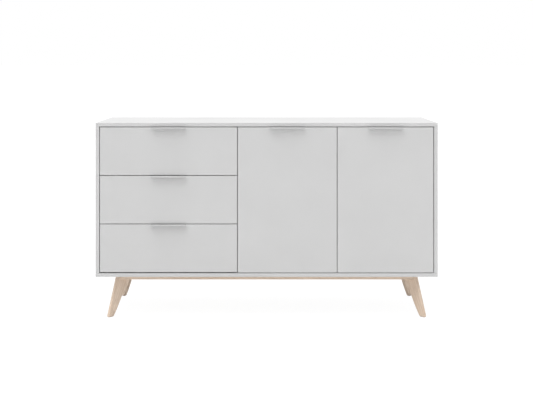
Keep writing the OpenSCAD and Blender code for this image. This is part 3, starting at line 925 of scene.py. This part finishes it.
class SIDEBOARD_OT_stage(bpy.types.Operator):
    """Set up the pale floor, the soft light and the camera"""

    bl_idname = "sideboard.stage"
    bl_label = "Stage"

    def execute(self, context):
        scene = context.scene
        sizes = scene.sideboard_sizes
        scene.view_settings.view_transform = "Standard"
        world = bpy.data.worlds.new("studio")
        world.use_nodes = True
        scene.world = world
        tree = world.node_tree
        tree.nodes.clear()
        # The backdrop is plain white, and the light that it gives grows stronger from the horizon up
        way = add_node(tree, "ShaderNodeTexCoord").outputs["Generated"]
        parts = add_node(tree, "ShaderNodeSeparateXYZ", {}, {"Vector": way})
        at_horizon = 0.06
        overhead = 1.68
        level = add_node(
            tree, "ShaderNodeMapRange", {},
            {"Value": parts.outputs["Z"], "To Min": at_horizon, "To Max": overhead},
        )
        light = add_node(
            tree, "ShaderNodeBackground", {},
            {"Color": (1.0, 1.0, 1.0, 1.0), "Strength": level.outputs[0]},
        )
        white = add_node(tree, "ShaderNodeBackground", {}, {"Color": (1.0, 1.0, 1.0, 1.0), "Strength": 1.0})
        seen = add_node(tree, "ShaderNodeLightPath").outputs["Is Camera Ray"]
        sky = add_node(
            tree, "ShaderNodeMixShader", {},
            {"Fac": seen, "Shader": light.outputs[0], "Shader_001": white.outputs[0]},
        )
        add_node(tree, "ShaderNodeOutputWorld", {}, {"Surface": sky.outputs[0]})
        self.floor("floor", level=0.0, grey=0.12, glow=0.93, seen=True)
        self.floor("floor_bounce", level=-0.5 * MM, grey=0.8, glow=0.04, seen=False)
        self.lamp("key", source=(-0.22, -0.2, 1.0), spread=35.0, power=1.46)
        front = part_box("drawer_top_front")[0].y
        camera = bpy.data.objects.new("camera", bpy.data.cameras.new("camera"))
        camera.location = (0.0, front - sizes.camera_back, sizes.camera_up)
        camera.rotation_euler = (math.radians(90), 0.0, 0.0)
        camera.data.lens = 57.55
        camera.data.sensor_width = 36.0
        # The camera looks level from above the sideboard, so its view is shifted down to frame it
        camera.data.shift_x = -0.0003
        camera.data.shift_y = -0.2554
        scene.collection.objects.link(camera)
        scene.camera = camera
        return {"FINISHED"}

    def floor(self, name, level, grey, glow, seen):
        """A flat floor: one is seen and nearly shadowless, the other only throws light back."""
        reach = 400.0
        mesh = bmesh.new()
        bmesh.ops.create_grid(mesh, x_segments=8, y_segments=8, size=reach)
        data = bpy.data.meshes.new(name)
        mesh.to_mesh(data)
        mesh.free()
        plane = bpy.data.objects.new(name, data)
        plane.location = (0.0, 0.0, level)
        bpy.context.scene.collection.objects.link(plane)
        material = bpy.data.materials.new(name)
        material.use_nodes = True
        tree = material.node_tree
        tree.nodes.clear()
        shader = add_node(
            tree, "ShaderNodeBsdfPrincipled", {},
            {"Base Color": (grey, grey, grey, 1.0), "Roughness": 1.0, "Specular IOR Level": 0.0,
             "Emission Color": (1.0, 1.0, 1.0, 1.0), "Emission Strength": glow},
        )
        add_node(tree, "ShaderNodeOutputMaterial", {}, {"Surface": shader.outputs[0]})
        data.materials.append(material)
        plane.visible_camera = seen
        plane.visible_diffuse = not seen
        plane.visible_glossy = not seen
        plane.visible_shadow = False

    def lamp(self, name, source, spread, power):
        """A far, broad lamp that shines from the direction of source, spread over some degrees."""
        data = bpy.data.lights.new(name, "SUN")
        data.angle = math.radians(spread)
        data.energy = power
        lamp = bpy.data.objects.new(name, data)
        # A sun lamp shines alike from any place: this one only keeps it clear of the sideboard
        lamp.location = Vector(source) * 4
        lamp.rotation_euler = Vector(source).to_track_quat("Z", "Y").to_euler()
        bpy.context.scene.collection.objects.link(lamp)


class SIDEBOARD_PT_panel(bpy.types.Panel):
    """Lists the sideboard's pieces and the sizes and colours behind them"""

    bl_idname = "SIDEBOARD_PT_panel"
    bl_label = "Sideboard"
    bl_space_type = "VIEW_3D"
    bl_region_type = "UI"
    bl_category = "Sideboard"

    def draw(self, context):
        layout = self.layout
        for operator in OPERATORS:
            layout.operator(operator.bl_idname)
        for group in (context.scene.sideboard_colours, context.scene.sideboard_sizes):
            for name in group.bl_rna.properties.keys():
                if name not in ("rna_type", "name"):
                    layout.prop(group, name)


OPERATORS = (
    SIDEBOARD_OT_fittings,
    SIDEBOARD_OT_body,
    SIDEBOARD_OT_fronts,
    SIDEBOARD_OT_handles,
    SIDEBOARD_OT_base,
    SIDEBOARD_OT_boxes,
    SIDEBOARD_OT_back,
    SIDEBOARD_OT_runners,
    SIDEBOARD_OT_hinges,
    SIDEBOARD_OT_stage,
)
CLASSES = (SideboardColours, SideboardSizes) + OPERATORS + (SIDEBOARD_PT_panel,)


def register():
    for cls in CLASSES:
        bpy.utils.register_class(cls)
    bpy.types.Scene.sideboard_colours = bpy.props.PointerProperty(type=SideboardColours)
    bpy.types.Scene.sideboard_sizes = bpy.props.PointerProperty(type=SideboardSizes)


def unregister():
    del bpy.types.Scene.sideboard_sizes
    del bpy.types.Scene.sideboard_colours
    for cls in reversed(CLASSES):
        bpy.utils.unregister_class(cls)


def main():
    """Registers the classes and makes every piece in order."""
    register()
    for operator in OPERATORS:
        group, name = operator.bl_idname.split(".")
        getattr(getattr(bpy.ops, group), name)()


if __name__ == "__main__":
    main()
